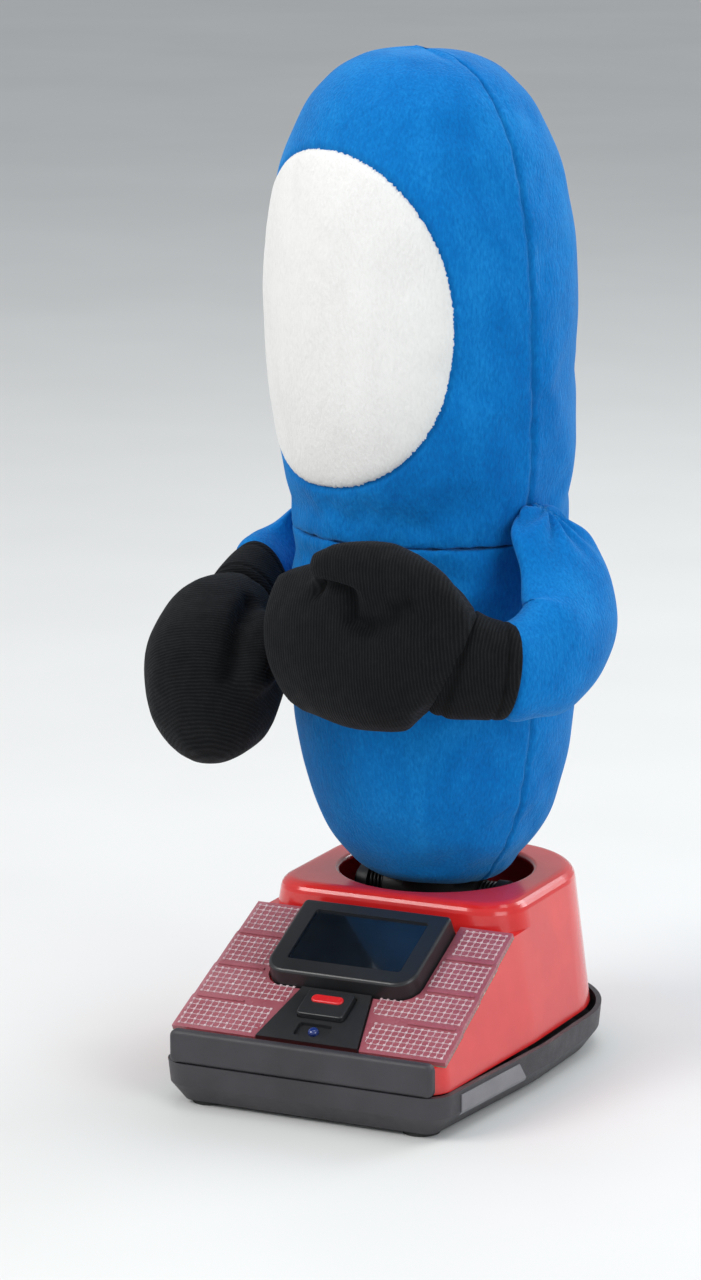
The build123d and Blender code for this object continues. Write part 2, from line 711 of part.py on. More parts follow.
def limb(stations, thin_axis):
    """Stuffed limb through oval stations: centre above the collar, half sizes."""
    last = len(stations) - 1
    with BuildPart(mode=Mode.PRIVATE) as body:
        for index, (x, y, height, thin, deep) in enumerate(stations):
            before = Vector(*stations[max(index - 1, 0)][:3])
            after = Vector(*stations[min(index + 1, last)][:3])
            centre = (x, y, COLLAR_TOP + height)
            with BuildSketch(Plane(origin=centre, x_dir=thin_axis, z_dir=after - before)):
                Ellipse(thin, deep)
        loft(ruled=True)
    return body.part


# x, y, height above the collar, half thickness, half depth
LEFT_SLEEVE = [
    (64, -30, 166, 5, 13),
    (70, -31, 156, 9, 21),
    (76, -33, 142, 13, 27),
    (80, -38, 127, 15.5, 31),
    (80, -48, 117, 16, 30),
    (76, -61, 112.5, 15.5, 26),
    (70, -73, 111, 15, 22),
]
LEFT_CUFF = [(69, -75, 111, 17, 22), (60, -82, 113, 18, 23), (50, -88, 116, 19, 25)]
LEFT_FIST = [
    (49, -89, 117, 20, 26),
    (38, -93, 122, 27, 35),
    (24, -95, 126, 30, 39),
    (6, -95, 129, 30, 39),
    (-12, -94, 130, 26, 34),
    (-25, -92, 130, 18, 24),
    (-31, -91, 130, 8, 11),
]
RIGHT_SLEEVE = [
    (-62, 18, 162, 4.5, 13),
    (-68, 17, 150, 7, 19),
    (-73, 12, 138, 9.5, 23),
    (-77, 2, 128, 12, 26),
    (-78, -12, 123, 13.5, 26),
]
RIGHT_CUFF = [(-78, -14, 122.5, 14.5, 25), (-76.5, -27, 119, 17.5, 27), (-74, -40, 114, 19.5, 28)]
RIGHT_FIST = [
    (-74, -41, 113.5, 21, 29),
    (-73, -55, 107, 27, 36),
    (-71, -71, 99, 30, 40),
    (-68, -87, 90, 28, 38),
    (-65, -99, 82, 19, 27),
    (-64, -105, 79, 9, 13),
]
ARMS = {
    "left": (LEFT_SLEEVE, LEFT_CUFF, LEFT_FIST, (1, -0.3, 0), (0.5, -0.8, 0), (0.1, -1, 0)),
    "right": (RIGHT_SLEEVE, RIGHT_CUFF, RIGHT_FIST, (1, -0.2, 0), (1, 0.1, 0), (1, 0.2, 0)),
}
for side, (sleeve_row, cuff_row, fist_row, sleeve_thin, cuff_thin, fist_thin) in ARMS.items():
    cuff_solid = limb(cuff_row, cuff_thin)
    with BuildPart() as sleeve:
        add(limb(sleeve_row, sleeve_thin))
        add(cuff_solid, mode=Mode.SUBTRACT)
    save(sleeve.part, f"sleeve_{side}")
    with BuildPart() as glove_cuff:
        add(cuff_solid)
    save(glove_cuff.part, f"glove_cuff_{side}")
    with BuildPart() as fist:
        add(limb(fist_row, fist_thin))
        add(cuff_solid, mode=Mode.SUBTRACT)
    save(fist.part, f"glove_{side}")
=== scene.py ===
"""Looks of the tabletop punch game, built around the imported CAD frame. Metres."""

import json
import math

import bmesh
import bpy
import numpy as np
from mathutils import Matrix, Vector, noise
from mathutils.bvhtree import BVHTree


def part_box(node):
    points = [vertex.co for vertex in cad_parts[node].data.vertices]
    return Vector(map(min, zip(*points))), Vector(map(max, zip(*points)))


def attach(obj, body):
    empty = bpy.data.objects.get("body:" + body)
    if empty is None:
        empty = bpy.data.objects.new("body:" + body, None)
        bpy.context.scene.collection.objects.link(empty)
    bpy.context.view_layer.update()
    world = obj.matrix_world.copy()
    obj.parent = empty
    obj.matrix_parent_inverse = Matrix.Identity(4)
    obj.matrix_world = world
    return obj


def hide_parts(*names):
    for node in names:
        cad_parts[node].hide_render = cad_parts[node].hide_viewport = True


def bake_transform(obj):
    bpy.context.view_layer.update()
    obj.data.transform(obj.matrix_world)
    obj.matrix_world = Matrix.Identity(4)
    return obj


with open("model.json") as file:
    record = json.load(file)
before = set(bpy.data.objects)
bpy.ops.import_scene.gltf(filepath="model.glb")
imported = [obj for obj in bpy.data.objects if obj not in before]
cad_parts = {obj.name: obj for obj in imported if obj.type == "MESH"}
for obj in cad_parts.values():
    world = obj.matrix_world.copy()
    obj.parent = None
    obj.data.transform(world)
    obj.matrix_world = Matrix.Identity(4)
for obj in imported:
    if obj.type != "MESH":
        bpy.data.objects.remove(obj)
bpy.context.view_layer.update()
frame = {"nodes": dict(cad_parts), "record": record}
nodes = frame["nodes"]
scene = bpy.context.scene
MM = 0.001
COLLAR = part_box("red_shell")[1].z

# ---- camera ------------------------------------------------------------------
AZIMUTH = math.radians(25.933)
ELEVATION = math.radians(12.693)
ROLL = math.radians(-0.295)
CAMERA_AT = Vector((0.8835, -1.902, 0.6555))
back = Vector((
    math.sin(AZIMUTH) * math.cos(ELEVATION),
    -math.cos(AZIMUTH) * math.cos(ELEVATION),
    math.sin(ELEVATION),
))
level = Vector((math.cos(AZIMUTH), math.sin(AZIMUTH), 0))
rise = back.cross(level)
right = level * math.cos(ROLL) + rise * math.sin(ROLL)
up = rise * math.cos(ROLL) - level * math.sin(ROLL)
pose = Matrix((right, up, back)).transposed().to_4x4()
pose.translation = CAMERA_AT
camera_data = bpy.data.cameras.new("camera")
camera_data.sensor_fit = "VERTICAL"
camera_data.sensor_height = 36
camera_data.lens = 137.21
camera = bpy.data.objects.new("camera", camera_data)
camera.matrix_world = pose
scene.collection.objects.link(camera)
scene.camera = camera
scene.view_settings.view_transform = "Standard"

# ---- light and floor -----------------------------------------------------------


def area_light(name, at, size, power, colour=(1, 1, 1)):
    """Soft square light aimed at the middle of the object."""
    data = bpy.data.lights.new(name, "AREA")
    data.shape = "RECTANGLE"
    data.size, data.size_y = size
    data.energy = power
    data.color = colour
    lamp = bpy.data.objects.new(name, data)
    lamp.location = at
    aim = Vector((0, -0.02, 0.2)) - Vector(at)
    lamp.rotation_euler = aim.to_track_quat("-Z", "Y").to_euler()
    scene.collection.objects.link(lamp)


area_light("key_light", (-1.3, -1.5, 1.7), (1.2, 1.2), 34, (1.0, 0.985, 0.96))
area_light("fill_light", (1.9, -1.0, 0.9), (1.1, 1.5), 17, (0.95, 0.98, 1.0))
area_light("top_light", (0.1, 0.3, 2.0), (1.6, 1.2), 16)
area_light("rear_light", (0.9, 1.6, 1.1), (1.0, 1.0), 14, (0.93, 0.97, 1.0))
world = bpy.data.worlds.new("studio")
world.use_nodes = True
world.node_tree.nodes["Background"].inputs["Color"].default_value = (0.82, 0.86, 0.9, 1)
world.node_tree.nodes["Background"].inputs["Strength"].default_value = 0.55
scene.world = world


# ---- material helpers ----------------------------------------------------------
class Paint:
    """A Principled material and short calls for the nodes that feed it."""

    def __init__(self, name, **sockets):
        self.material = bpy.data.materials.new(name)
        self.material.use_nodes = True
        self.tree = self.material.node_tree
        self.surface = self.tree.nodes["Principled BSDF"]
        for key, value in sockets.items():
            self.surface.inputs[key.replace("_", " ")].default_value = value
        self.place = self.tree.nodes.new("ShaderNodeTexCoord").outputs["Object"]
        self.relief = None

    def add(self, kind, inputs=None, **settings):
        node = self.tree.nodes.new(kind)
        for key, value in settings.items():
            setattr(node, key, value)
        for key, value in (inputs or {}).items():
            if isinstance(value, bpy.types.NodeSocket):
                self.tree.links.new(value, node.inputs[key])
            else:
                node.inputs[key].default_value = value
        return node

    def stretched(self, x, y, z):
        return self.add("ShaderNodeMapping", {"Vector": self.place, "Scale": (x, y, z)}).outputs[0]

    def noise(self, scale, detail=3.0, rough=0.55, place=None, distortion=0.0):
        return self.add("ShaderNodeTexNoise", {
            "Vector": place or self.place, "Scale": scale, "Detail": detail,
            "Roughness": rough, "Distortion": distortion}).outputs["Fac"]

    def ramp(self, factor, *stops):
        node = self.add("ShaderNodeValToRGB", {"Fac": factor})
        node.color_ramp.elements[0].position = stops[0][0]
        node.color_ramp.elements[0].color = (*stops[0][1], 1)
        node.color_ramp.elements[1].position = stops[-1][0]
        node.color_ramp.elements[1].color = (*stops[-1][1], 1)
        for position, colour in stops[1:-1]:
            node.color_ramp.elements.new(position).color = (*colour, 1)
        return node.outputs["Color"]

    def math(self, operation, a, b=0.0, c=0.0):
        return self.add("ShaderNodeMath", {0: a, 1: b, 2: c}, operation=operation).outputs[0]

    def spread(self, factor, low, high, start=0.3, stop=0.7):
        return self.add("ShaderNodeMapRange", {
            "Value": factor, "From Min": start, "From Max": stop,
            "To Min": low, "To Max": high}).outputs[0]

    def mix(self, factor, a, b, blend="MIX"):
        node = self.add("ShaderNodeMix", {0: factor, 6: a, 7: b}, data_type="RGBA", blend_type=blend)
        return node.outputs[2]

    def attribute(self, name):
        return self.add("ShaderNodeAttribute", attribute_name=name).outputs["Fac"]

    def set(self, key, value):
        self.tree.links.new(value, self.surface.inputs[key])
        return self

    def bump(self, height, depth, strength=1.0):
        inputs = {"Height": height, "Distance": depth, "Strength": strength}
        if self.relief is not None:
            inputs["Normal"] = self.relief
        self.relief = self.add("ShaderNodeBump", inputs).outputs["Normal"]
        self.set("Normal", self.relief)
        return self


def moulded(name, dark, light, rough, grain, depth, mottle=40.0, **sockets):
    """Moulded plastic, rubber or metal: mottled colour, uneven gloss, fine grain."""
    paint = Paint(name, **sockets)
    paint.set("Base Color", paint.ramp(paint.noise(mottle, 4), (0.3, dark), (0.7, light)))
    paint.set("Roughness", paint.spread(paint.noise(mottle * 3, 5, 0.65), *rough))
    paint.bump(paint.noise(grain, 3), depth)
    return paint


PAINTS = {}
for name, dark, light, rough, grain, depth, sockets in (
    ("charcoal_shell", (0.028, 0.026, 0.031), (0.042, 0.039, 0.046), (0.42, 0.56), 2600, 0.00012, {}),
    ("grey_inset", (0.17, 0.165, 0.18), (0.23, 0.225, 0.24), (0.34, 0.46), 1800, 0.00006, {}),
    ("red_shell", (0.62, 0.016, 0.018), (0.72, 0.026, 0.024), (0.17, 0.26), 420, 0.00003,
     {"Coat_Weight": 0.35, "Coat_Roughness": 0.12}),
    ("rubber", (0.012, 0.012, 0.012), (0.024, 0.024, 0.024), (0.7, 0.85), 1500, 0.0001, {}),
    ("plated_steel", (0.55, 0.55, 0.56), (0.68, 0.68, 0.7), (0.2, 0.34), 900, 0.00002, {"Metallic": 1.0}),
    ("black_oxide_steel", (0.01, 0.01, 0.011), (0.022, 0.022, 0.024), (0.3, 0.45), 900, 0.00002,
     {"Metallic": 0.6}),
    ("ballast_iron", (0.08, 0.075, 0.07), (0.14, 0.13, 0.125), (0.5, 0.75), 500, 0.0003, {"Metallic": 0.8}),
    ("black_plastic", (0.012, 0.012, 0.013), (0.022, 0.022, 0.024), (0.35, 0.5), 2200, 0.00008, {}),
    ("chip_plastic", (0.012, 0.012, 0.013), (0.03, 0.03, 0.032), (0.4, 0.55), 2600, 0.00006, {}),
    ("unlit_led", (0.16, 0.012, 0.014), (0.22, 0.02, 0.022), (0.2, 0.3), 1200, 0.00003, {}),
    ("black_satin", (0.016, 0.0165, 0.018), (0.019, 0.0195, 0.0215), (0.29, 0.33), 3200, 0.00002,
     {"Specular_IOR_Level": 0.55}),
    ("red_key", (0.62, 0.012, 0.016), (0.72, 0.02, 0.024), (0.2, 0.3), 900, 0.00004, {}),
    ("blue_lens", (0.01, 0.02, 0.12), (0.02, 0.05, 0.24), (0.08, 0.14), 700, 0.00002,
     {"Coat_Weight": 0.6, "Coat_Roughness": 0.05}),
    ("post_plastic", (0.6, 0.6, 0.58), (0.7, 0.7, 0.68), (0.4, 0.55), 900, 0.00006, {}),
    ("foam", (0.62, 0.6, 0.52), (0.75, 0.72, 0.64), (0.8, 0.95), 700, 0.0006, {}),
):
    PAINTS[name] = moulded(name, dark, light, rough, grain, depth, **sockets)

# battery sleeves: two printed bands, left plain
paint = Paint("battery_sleeve", Metallic=0.35)
ends = paint.add("ShaderNodeSeparateXYZ", {"Vector": paint.place}).outputs["X"]
bands = paint.math("GREATER_THAN", paint.math("ABSOLUTE", ends), 0.017)
shade = paint.ramp(paint.noise(60, 3), (0.3, (0.1, 0.11, 0.13)), (0.7, (0.14, 0.15, 0.17)))
paint.set("Base Color", paint.mix(bands, shade, (0.52, 0.44, 0.3, 1)))
paint.set("Roughness", paint.spread(paint.noise(80, 3), 0.25, 0.35))
PAINTS["battery_sleeve"] = paint

# lacquered board with paler traces and pads
paint = Paint("circuit_board")
trace = paint.add("ShaderNodeTexBrick", {
    "Vector": paint.place, "Scale": 130.0, "Mortar Size": 0.06, "Mortar Smooth": 0.1,
    "Brick Width": 0.9, "Row Height": 0.22}).outputs["Fac"]
pads = paint.add("ShaderNodeTexVoronoi", {"Vector": paint.place, "Scale": 210.0, "Randomness": 0.35})
dots = paint.math("LESS_THAN", pads.outputs["Distance"], 0.24)
lacquer = paint.ramp(paint.noise(90, 4), (0.3, (0.012, 0.06, 0.035)), (0.7, (0.02, 0.1, 0.055)))
lacquer = paint.mix(paint.math("MULTIPLY", trace, 0.55), lacquer, (0.22, 0.42, 0.3, 1))
paint.set("Base Color", paint.mix(paint.math("MULTIPLY", dots, 0.8), lacquer, (0.62, 0.58, 0.42, 1)))
paint.set("Roughness", paint.spread(paint.noise(300, 3), 0.3, 0.42))
paint.bump(trace, 0.00006)
PAINTS["circuit_board"] = paint

# translucent dusty pink cover
paint = Paint("clear_smoke_cover", Alpha=0.74, Coat_Weight=0.4, Coat_Roughness=0.15)
paint.set("Base Color", paint.ramp(
    paint.noise(55, 4), (0.3, (0.44, 0.1, 0.135)), (0.7, (0.54, 0.16, 0.2))))
paint.set("Roughness", paint.spread(paint.noise(150, 4), 0.22, 0.36))
paint.bump(paint.noise(500, 3), 0.00004)
PAINTS["clear_smoke_cover"] = paint

paint = Paint("moulded_grid", Alpha=0.9)
paint.set("Base Color", paint.ramp(
    paint.noise(260, 4), (0.3, (0.6, 0.36, 0.4)), (0.7, (0.82, 0.68, 0.7))))
paint.set("Roughness", paint.spread(paint.noise(400, 3), 0.25, 0.4))
paint.bump(paint.noise(1500, 2), 0.00003)
PAINTS["moulded_grid"] = paint

# smoked acrylic over the digits
paint = Paint("smoked_window", Alpha=0.86, Coat_Weight=0.8, Coat_Roughness=0.04)
paint.set("Base Color", paint.ramp(
    paint.noise(30, 3), (0.3, (0.006, 0.009, 0.014)), (0.7, (0.012, 0.017, 0.025))))
paint.set("Roughness", paint.spread(paint.noise(120, 4), 0.06, 0.13))
paint.bump(paint.noise(300, 2), 0.00001)
PAINTS["smoked_window"] = paint


def plush(name, deep, middle, pale, sheen):
    """Short pile: brushed mottling, fibre clumps and painted shade in the seam grooves and creases."""
    paint = Paint(name, Sheen_Weight=0.28, Sheen_Roughness=0.4, Specular_IOR_Level=0.12)
    paint.surface.inputs["Sheen Tint"].default_value = (*sheen, 1)
    nap = paint.stretched(1, 1, 0.55)
    brushed = paint.noise(26, 5, 0.6, nap, 0.8)
    fibre = paint.noise(900, 3, 0.6, paint.stretched(1, 1, 0.4))
    tone = paint.math("MULTIPLY_ADD", fibre, 0.45, paint.math("MULTIPLY", brushed, 0.6))
    colour = paint.ramp(tone, (0.36, deep), (0.52, middle), (0.68, pale))
    # painted shade: the groove mask darkens the pile in the seam grooves, face-oval groove, pleat valleys
    # and creases
    painted_groove_shade = paint.math("MULTIPLY", paint.attribute("groove_shade"), 0.3)
    colour = paint.mix(painted_groove_shade, colour, tuple(c * 0.3 for c in deep) + (1,))
    paint.set("Base Color", colour)
    paint.set("Roughness", paint.spread(fibre, 0.82, 0.96))
    paint.bump(paint.noise(130, 4, 0.6, nap, 0.6), 0.0004)
    paint.bump(fibre, 0.0006)
    return paint


PAINTS["blue_plush"] = plush(
    "blue_plush", (0.0, 0.115, 0.4), (0.001, 0.16, 0.5), (0.008, 0.225, 0.61), (0.35, 0.7, 1.0))
PAINTS["white_plush"] = plush(
    "white_plush", (0.74, 0.73, 0.715), (0.79, 0.785, 0.77), (0.83, 0.825, 0.81), (1.0, 1.0, 1.0))

# fine rib knit; "along" runs down the limb in metres
paint = Paint("black_knit", Sheen_Weight=0.05, Sheen_Roughness=0.4, Specular_IOR_Level=0.12)
paint.surface.inputs["Sheen Tint"].default_value = (0.6, 0.65, 0.7, 1)
wobble = paint.math("MULTIPLY", paint.noise(60, 3), 0.0022)
RIB_PITCH = 0.0013
along = paint.math("ADD", paint.attribute("along"), wobble)
rib = paint.math("SINE", paint.math("MULTIPLY", along, 2 * math.pi / RIB_PITCH))
fluff = paint.noise(1500, 3, 0.65)
ridge = paint.math("MULTIPLY_ADD", rib, 0.3, paint.math("MULTIPLY", fluff, 0.85))
# the ramp paints shade into the rib valleys, darker where the rib height is low; the fluff noise adds random
# fibre tone
colour = paint.ramp(
    ridge, (0.1, (0.0028, 0.0032, 0.0038)), (0.5, (0.005, 0.0055, 0.0065)), (0.9, (0.013, 0.0145, 0.016)))
# painted shade: the groove mask darkens the knit in the cuff grooves and along the creases
paint.set("Base Color", paint.mix(
    paint.math("MULTIPLY", paint.attribute("groove_shade"), 0.7), colour, (0.001, 0.001, 0.001, 1)))
paint.set("Roughness", paint.spread(paint.noise(200, 3), 0.72, 0.9))
paint.bump(ridge, 0.0003)
PAINTS["black_knit"] = paint

for row in frame["record"]["subparts"]:
    node = nodes[row["node"]]
    node.data.materials.clear()
    node.data.materials.append(PAINTS[row["material_slot"]].material)

floor_mesh = bpy.data.meshes.new("floor")
floor_mesh.from_pydata([(-14, -14, 0), (14, -14, 0), (14, 14, 0), (-14, 14, 0)], [], [(0, 1, 2, 3)])
floor = bpy.data.objects.new("floor", floor_mesh)
scene.collection.objects.link(floor)
paint = Paint("pale_floor")
paint.set("Base Color", paint.ramp(paint.noise(3, 3), (0.3, (0.72, 0.72, 0.71)), (0.7, (0.76, 0.76, 0.75))))
paint.set("Roughness", paint.spread(paint.noise(8, 3), 0.6, 0.7))
floor.data.materials.append(paint.material)


# ---- mesh helpers ----------------------------------------------------------------
def new_object(name, verts, faces, paint_name, smooth=True):
    mesh = bpy.data.meshes.new(name)
    mesh.from_pydata([tuple(map(float, v)) for v in verts], [], faces)
    mesh.validate()
    mesh.update()
    for polygon in mesh.polygons:
        polygon.use_smooth = smooth
    mesh.materials.append(PAINTS[paint_name].material)
    item = bpy.data.objects.new(name, mesh)
    scene.collection.objects.link(item)
    return item


def get_co(item):
    co = np.empty(len(item.data.vertices) * 3)
    item.data.vertices.foreach_get("co", co)
    return co.reshape(-1, 3)


def set_co(item, co):
    item.data.vertices.foreach_set("co", np.asarray(co, float).ravel())
    item.data.update()


def get_normals(item):
    normal = np.empty(len(item.data.vertices) * 3)
    item.data.vertices.foreach_get("normal", normal)
    return normal.reshape(-1, 3)


def store(item, name, values):
    layer = item.data.attributes.get(name) or item.data.attributes.new(name, "FLOAT", "POINT")
    layer.data.foreach_set("value", np.asarray(values, np.float32))


def apply_modifiers(item):
    graph = bpy.context.evaluated_depsgraph_get()
    mesh = bpy.data.meshes.new_from_object(item.evaluated_get(graph))
    item.modifiers.clear()
    item.data = mesh
    for polygon in mesh.polygons:
        polygon.use_smooth = True


def subdivide(item, levels):
    item.modifiers.new("fine", "SUBSURF").levels = levels
    apply_modifiers(item)


def smooth_curve(points, at):
    """Cubic through rows of numbers; the first column is the parameter."""
    points = np.asarray(points, float)
    t, values = points[:, 0], points[:, 1:]
    slope = np.gradient(values, t, axis=0)
    at = np.clip(np.asarray(at, float), t[0], t[-1])
    i = np.clip(np.searchsorted(t, at, side="right") - 1, 0, len(t) - 2)
    h = (t[i + 1] - t[i])[:, None]
    s = ((at - t[i]) / (t[i + 1] - t[i]))[:, None]
    return (
        (2 * s**3 - 3 * s**2 + 1) * values[i] + (s**3 - 2 * s**2 + s) * h * slope[i]
        + (3 * s**2 - 2 * s**3) * values[i + 1] + (s**3 - s**2) * h * slope[i + 1]
    )


def tube_faces(rows, columns, first=0):
    faces = []
    for r in range(rows - 1):
        for c in range(columns):
            d = (c + 1) % columns
            faces.append((
                first + r * columns + c, first + r * columns + d,
                first + (r + 1) * columns + d, first + (r + 1) * columns + c))
    return faces


def wave(point, scale, seed=0.0):
    return noise.noise(Vector((point[0] * scale + seed, point[1] * scale, point[2] * scale)))


LAST_FRAME = 20
soft = []  # cloth jobs: object, resting shape, furthest a point may move


def stuff(item, pinned, pressure, cap, growth=0.0, bending=0.6):
    """Queues a cloth simulation that inflates a sewn shell."""
    group = item.vertex_groups.new(name="pins")
    for index, weight in enumerate(pinned):
        if weight > 0:
            group.add([index], float(weight), "REPLACE")
    cloth = item.modifiers.new("stuffing", "CLOTH")
    cloth.settings.quality = 6
    cloth.settings.mass = 0.25
    cloth.settings.tension_stiffness = 18
    cloth.settings.compression_stiffness = 18
    cloth.settings.shear_stiffness = 6
    cloth.settings.bending_stiffness = bending
    cloth.settings.use_pressure = True
    cloth.settings.uniform_pressure_force = pressure
    cloth.settings.shrink_min = -growth
    cloth.settings.vertex_group_mass = "pins"
    cloth.settings.effector_weights.gravity = 0
    cloth.collision_settings.use_collision = False
    cloth.point_cache.frame_start = 1
    cloth.point_cache.frame_end = LAST_FRAME
    soft.append((item, get_co(item), cap))


def run_stuffing():
    """Runs every queued simulation together and keeps the capped result."""
    for step in range(1, LAST_FRAME + 1):
        scene.frame_set(step)
    graph = bpy.context.evaluated_depsgraph_get()
    for item, before, cap in soft:
        after = np.array([v.co for v in item.evaluated_get(graph).data.vertices])
        move = after - before
        length = np.linalg.norm(move, axis=1, keepdims=True) + 1e-9
        after = before + move / length * cap * np.tanh(length / cap)
        item.modifiers.clear()
        item.vertex_groups.clear()
        set_co(item, after)
    scene.frame_set(1)


# ---- stuffed body ------------------------------------------------------------------
# millimetres above the collar, half width, front depth, back depth
PROFILE = np.array([
    (-1.5, 27.0, 23.0, 23.0), (0.0, 31.0, 27.0, 27.0), (8.0, 38.5, 35.0, 32.5), (17.0, 46.0, 42.0, 36.0),
    (28.0, 52.0, 48.0, 45.0), (45.0, 57.5, 53.5, 51.0), (65.0, 61.5, 57.0, 54.0),
    (100.0, 63.5, 60.0, 55.0), (130.0, 63.0, 60.5, 53.5), (156.0, 61.5, 61.0, 51.0),
    (190.0, 65.5, 66.5, 52.5), (228.0, 68.0, 71.5, 52.0), (268.0, 68.0, 73.5, 50.0),
    (303.0, 64.0, 71.5, 45.0), (331.0, 55.0, 64.0, 36.0), (350.0, 42.0, 53.5, 24.0),
    (360.0, 28.0, 41.0, 10.5), (364.0, 14.0, 29.0, -2.0), (365.0, 5.0, 20.0, -11.0)]) * MM
NECK = 0.156
COLUMNS = 80
REST_IN = -0.0007  # the cloth starts this far inside its finished size
SEAM_IN = -0.0005
FOLD_IN = -0.0018
SEAM_COLUMNS = (20, 60)
TURN = math.radians(-23)  # the stuffed body stands turned on its post


def level_oval(height, angle, grow=0.0):
    """Point on the stuffed body at a height above the collar; angle 0 is the front."""
    half, front, rear = smooth_curve(PROFILE, [height])[0]
    reach = (front + rear) / 2 + grow
    return ((half + grow) * math.sin(angle), (rear - front) / 2 - reach * math.cos(angle), COLLAR + height)


def level_middle(height):
    """Centre of the body's oval, front to back, at a height above the collar."""
    half, front, rear = smooth_curve(PROFILE, [height])[0]
    return (rear - front) / 2


def body_angle(co):
    """Angle round the body of each vertex, 0 at the front."""
    rows = smooth_curve(PROFILE, co[:, 2] - COLLAR)
    middle = (rows[:, 2] - rows[:, 1]) / 2
    reach = (rows[:, 1] + rows[:, 2]) / 2
    return np.arctan2(co[:, 0] / rows[:, 0], -(co[:, 1] - middle) / reach)


def body_piece(name, heights, neck_at_top):
    """Closed shell of level ovals; the end at the neck is folded in."""
    verts, pins = [], []
    for height in heights:
        for column in range(COLUMNS):
            on_seam = column in SEAM_COLUMNS or abs(height - NECK) < 1e-6
            grow = SEAM_IN if on_seam else REST_IN
            verts.append(level_oval(height, TURN + 2 * math.pi * column / COLUMNS, grow))
            pins.append(1.0 if on_seam else 0.0)
    rows = len(heights)
    fold = [level_oval(NECK, TURN + 2 * math.pi * c / COLUMNS, FOLD_IN) for c in range(COLUMNS)]
    faces = tube_faces(rows, COLUMNS)
    if neck_at_top:
        faces += tube_faces(2, COLUMNS, (rows - 1) * COLUMNS)
        verts += fold
        pins += [1.0] * COLUMNS
        pole_low = len(verts)
        verts += [(0, 0, COLLAR + heights[0] - 0.0004), (0, 0, COLLAR + NECK)]
        low_ring, high_ring = 0, rows * COLUMNS
    else:
        first = len(verts)
        verts += fold
        pins += [1.0] * COLUMNS
        faces += [(first + c, first + (c + 1) % COLUMNS, (c + 1) % COLUMNS, c) for c in range(COLUMNS)]
        pole_low = len(verts)
        verts += [(0, 0, COLLAR + NECK), (0, -0.0155, COLLAR + heights[-1] + 0.0003)]
        low_ring, high_ring = first, (rows - 1) * COLUMNS
    pins += [1.0, 1.0 if neck_at_top else 0.0]
    for c in range(COLUMNS):
        d = (c + 1) % COLUMNS
        faces.append((low_ring + d, low_ring + c, pole_low))
        faces.append((high_ring + c, high_ring + d, pole_low + 1))
    item = new_object(name, verts, faces, "blue_plush")
    stuff(item, pins, 2.0, 0.0019, 0.012, 1.5)
    return item


torso_rows = [-0.0015, 0.0, 0.004] + list(np.linspace(0.008, NECK, 31))
head_rows = list(np.linspace(NECK, 0.350, 39)) + [0.3555, 0.360, 0.3625, 0.364, 0.365]
torso = body_piece("plush_torso", torso_rows, True)
head = body_piece("plush_head", head_rows, False)

# ---- stuffed limbs -----------------------------------------------------------------
# x, y, millimetres above the collar, half thickness, half depth
LIMBS = {
    "left": {
        "sleeve": [(57.5, -27.5, 172, 3.5, 9), (60.5, -28.5, 168, 5.5, 14), (66, -30, 161, 8, 19),
                   (71, -31, 154, 10, 22), (76, -33, 142, 13, 27), (80, -38, 127, 15.5, 31),
                   (80, -48, 117, 16, 30),
                   (76, -61, 112.5, 15.5, 26), (70, -73, 111, 15, 22), (66, -77, 111, 14, 21)],
        "cuff": [(70, -74, 111, 16.6, 21.6), (65, -78.5, 112, 17.6, 22.4), (60, -82, 113, 18, 23),
                 (50, -88, 116, 19, 25), (46, -89, 117.5, 18, 24)],
        "fist": [(50, -88, 116, 18, 24), (44, -91, 119, 23, 30), (38, -93, 120.5, 27, 34),
                 (24, -95, 121.5, 30, 36), (6, -95, 122.5, 30, 36.5), (-12, -94, 121.5, 26, 33),
                 (-25, -92, 119, 18, 27), (-31, -91, 118, 9, 15)],
        "thin": ((1, -0.3, 0), (0.5, -0.8, 0), (0.1, -1, 0)),
        "rib": (1, 0.15, 0.05),
        "top": (57, -27, 172),
    },
    "right": {
        "sleeve": [(-57.5, 18, 168, 3.5, 9), (-60, 18, 164, 4.5, 13), (-64, 18, 157, 5.5, 16),
                   (-68, 17, 150, 7, 19), (-73, 12, 138, 9.5, 23), (-77, 2, 128, 12, 26),
                   (-78, -12, 123, 13.5, 26), (-77.5, -18, 121, 13, 25)],
        "cuff": [(-78, -14, 122.5, 14.5, 25), (-76.5, -27, 119, 17.2, 26.6), (-74, -40, 114, 19, 27.6),
                 (-73.5, -43, 113, 18.5, 26.5)],
        "fist": [(-74, -40, 114, 19, 27), (-73, -55, 107, 27, 36), (-71, -71, 99, 30, 40),
                 (-68, -87, 90, 28, 38), (-65, -99, 82, 19, 27), (-64, -105, 79, 9, 13)],
        "thin": ((1, -0.2, 0), (1, 0.1, 0), (1, 0.2, 0)),
        "rib": (-0.2, 0.5, 0.85),
        "top": (-57, 18, 168),
    },
}


def limb_rows(stations, count):
    """Evenly spaced oval stations: centres, half sizes and distance along."""
    table = np.array(stations, float) * MM
    table[:, 2] += COLLAR
    step = np.linalg.norm(np.diff(table[:, :3], axis=0), axis=1)
    run = np.concatenate([[0], np.cumsum(step)])
    at = np.linspace(0, run[-1], count)
    return smooth_curve(np.column_stack([run, table]), at), at


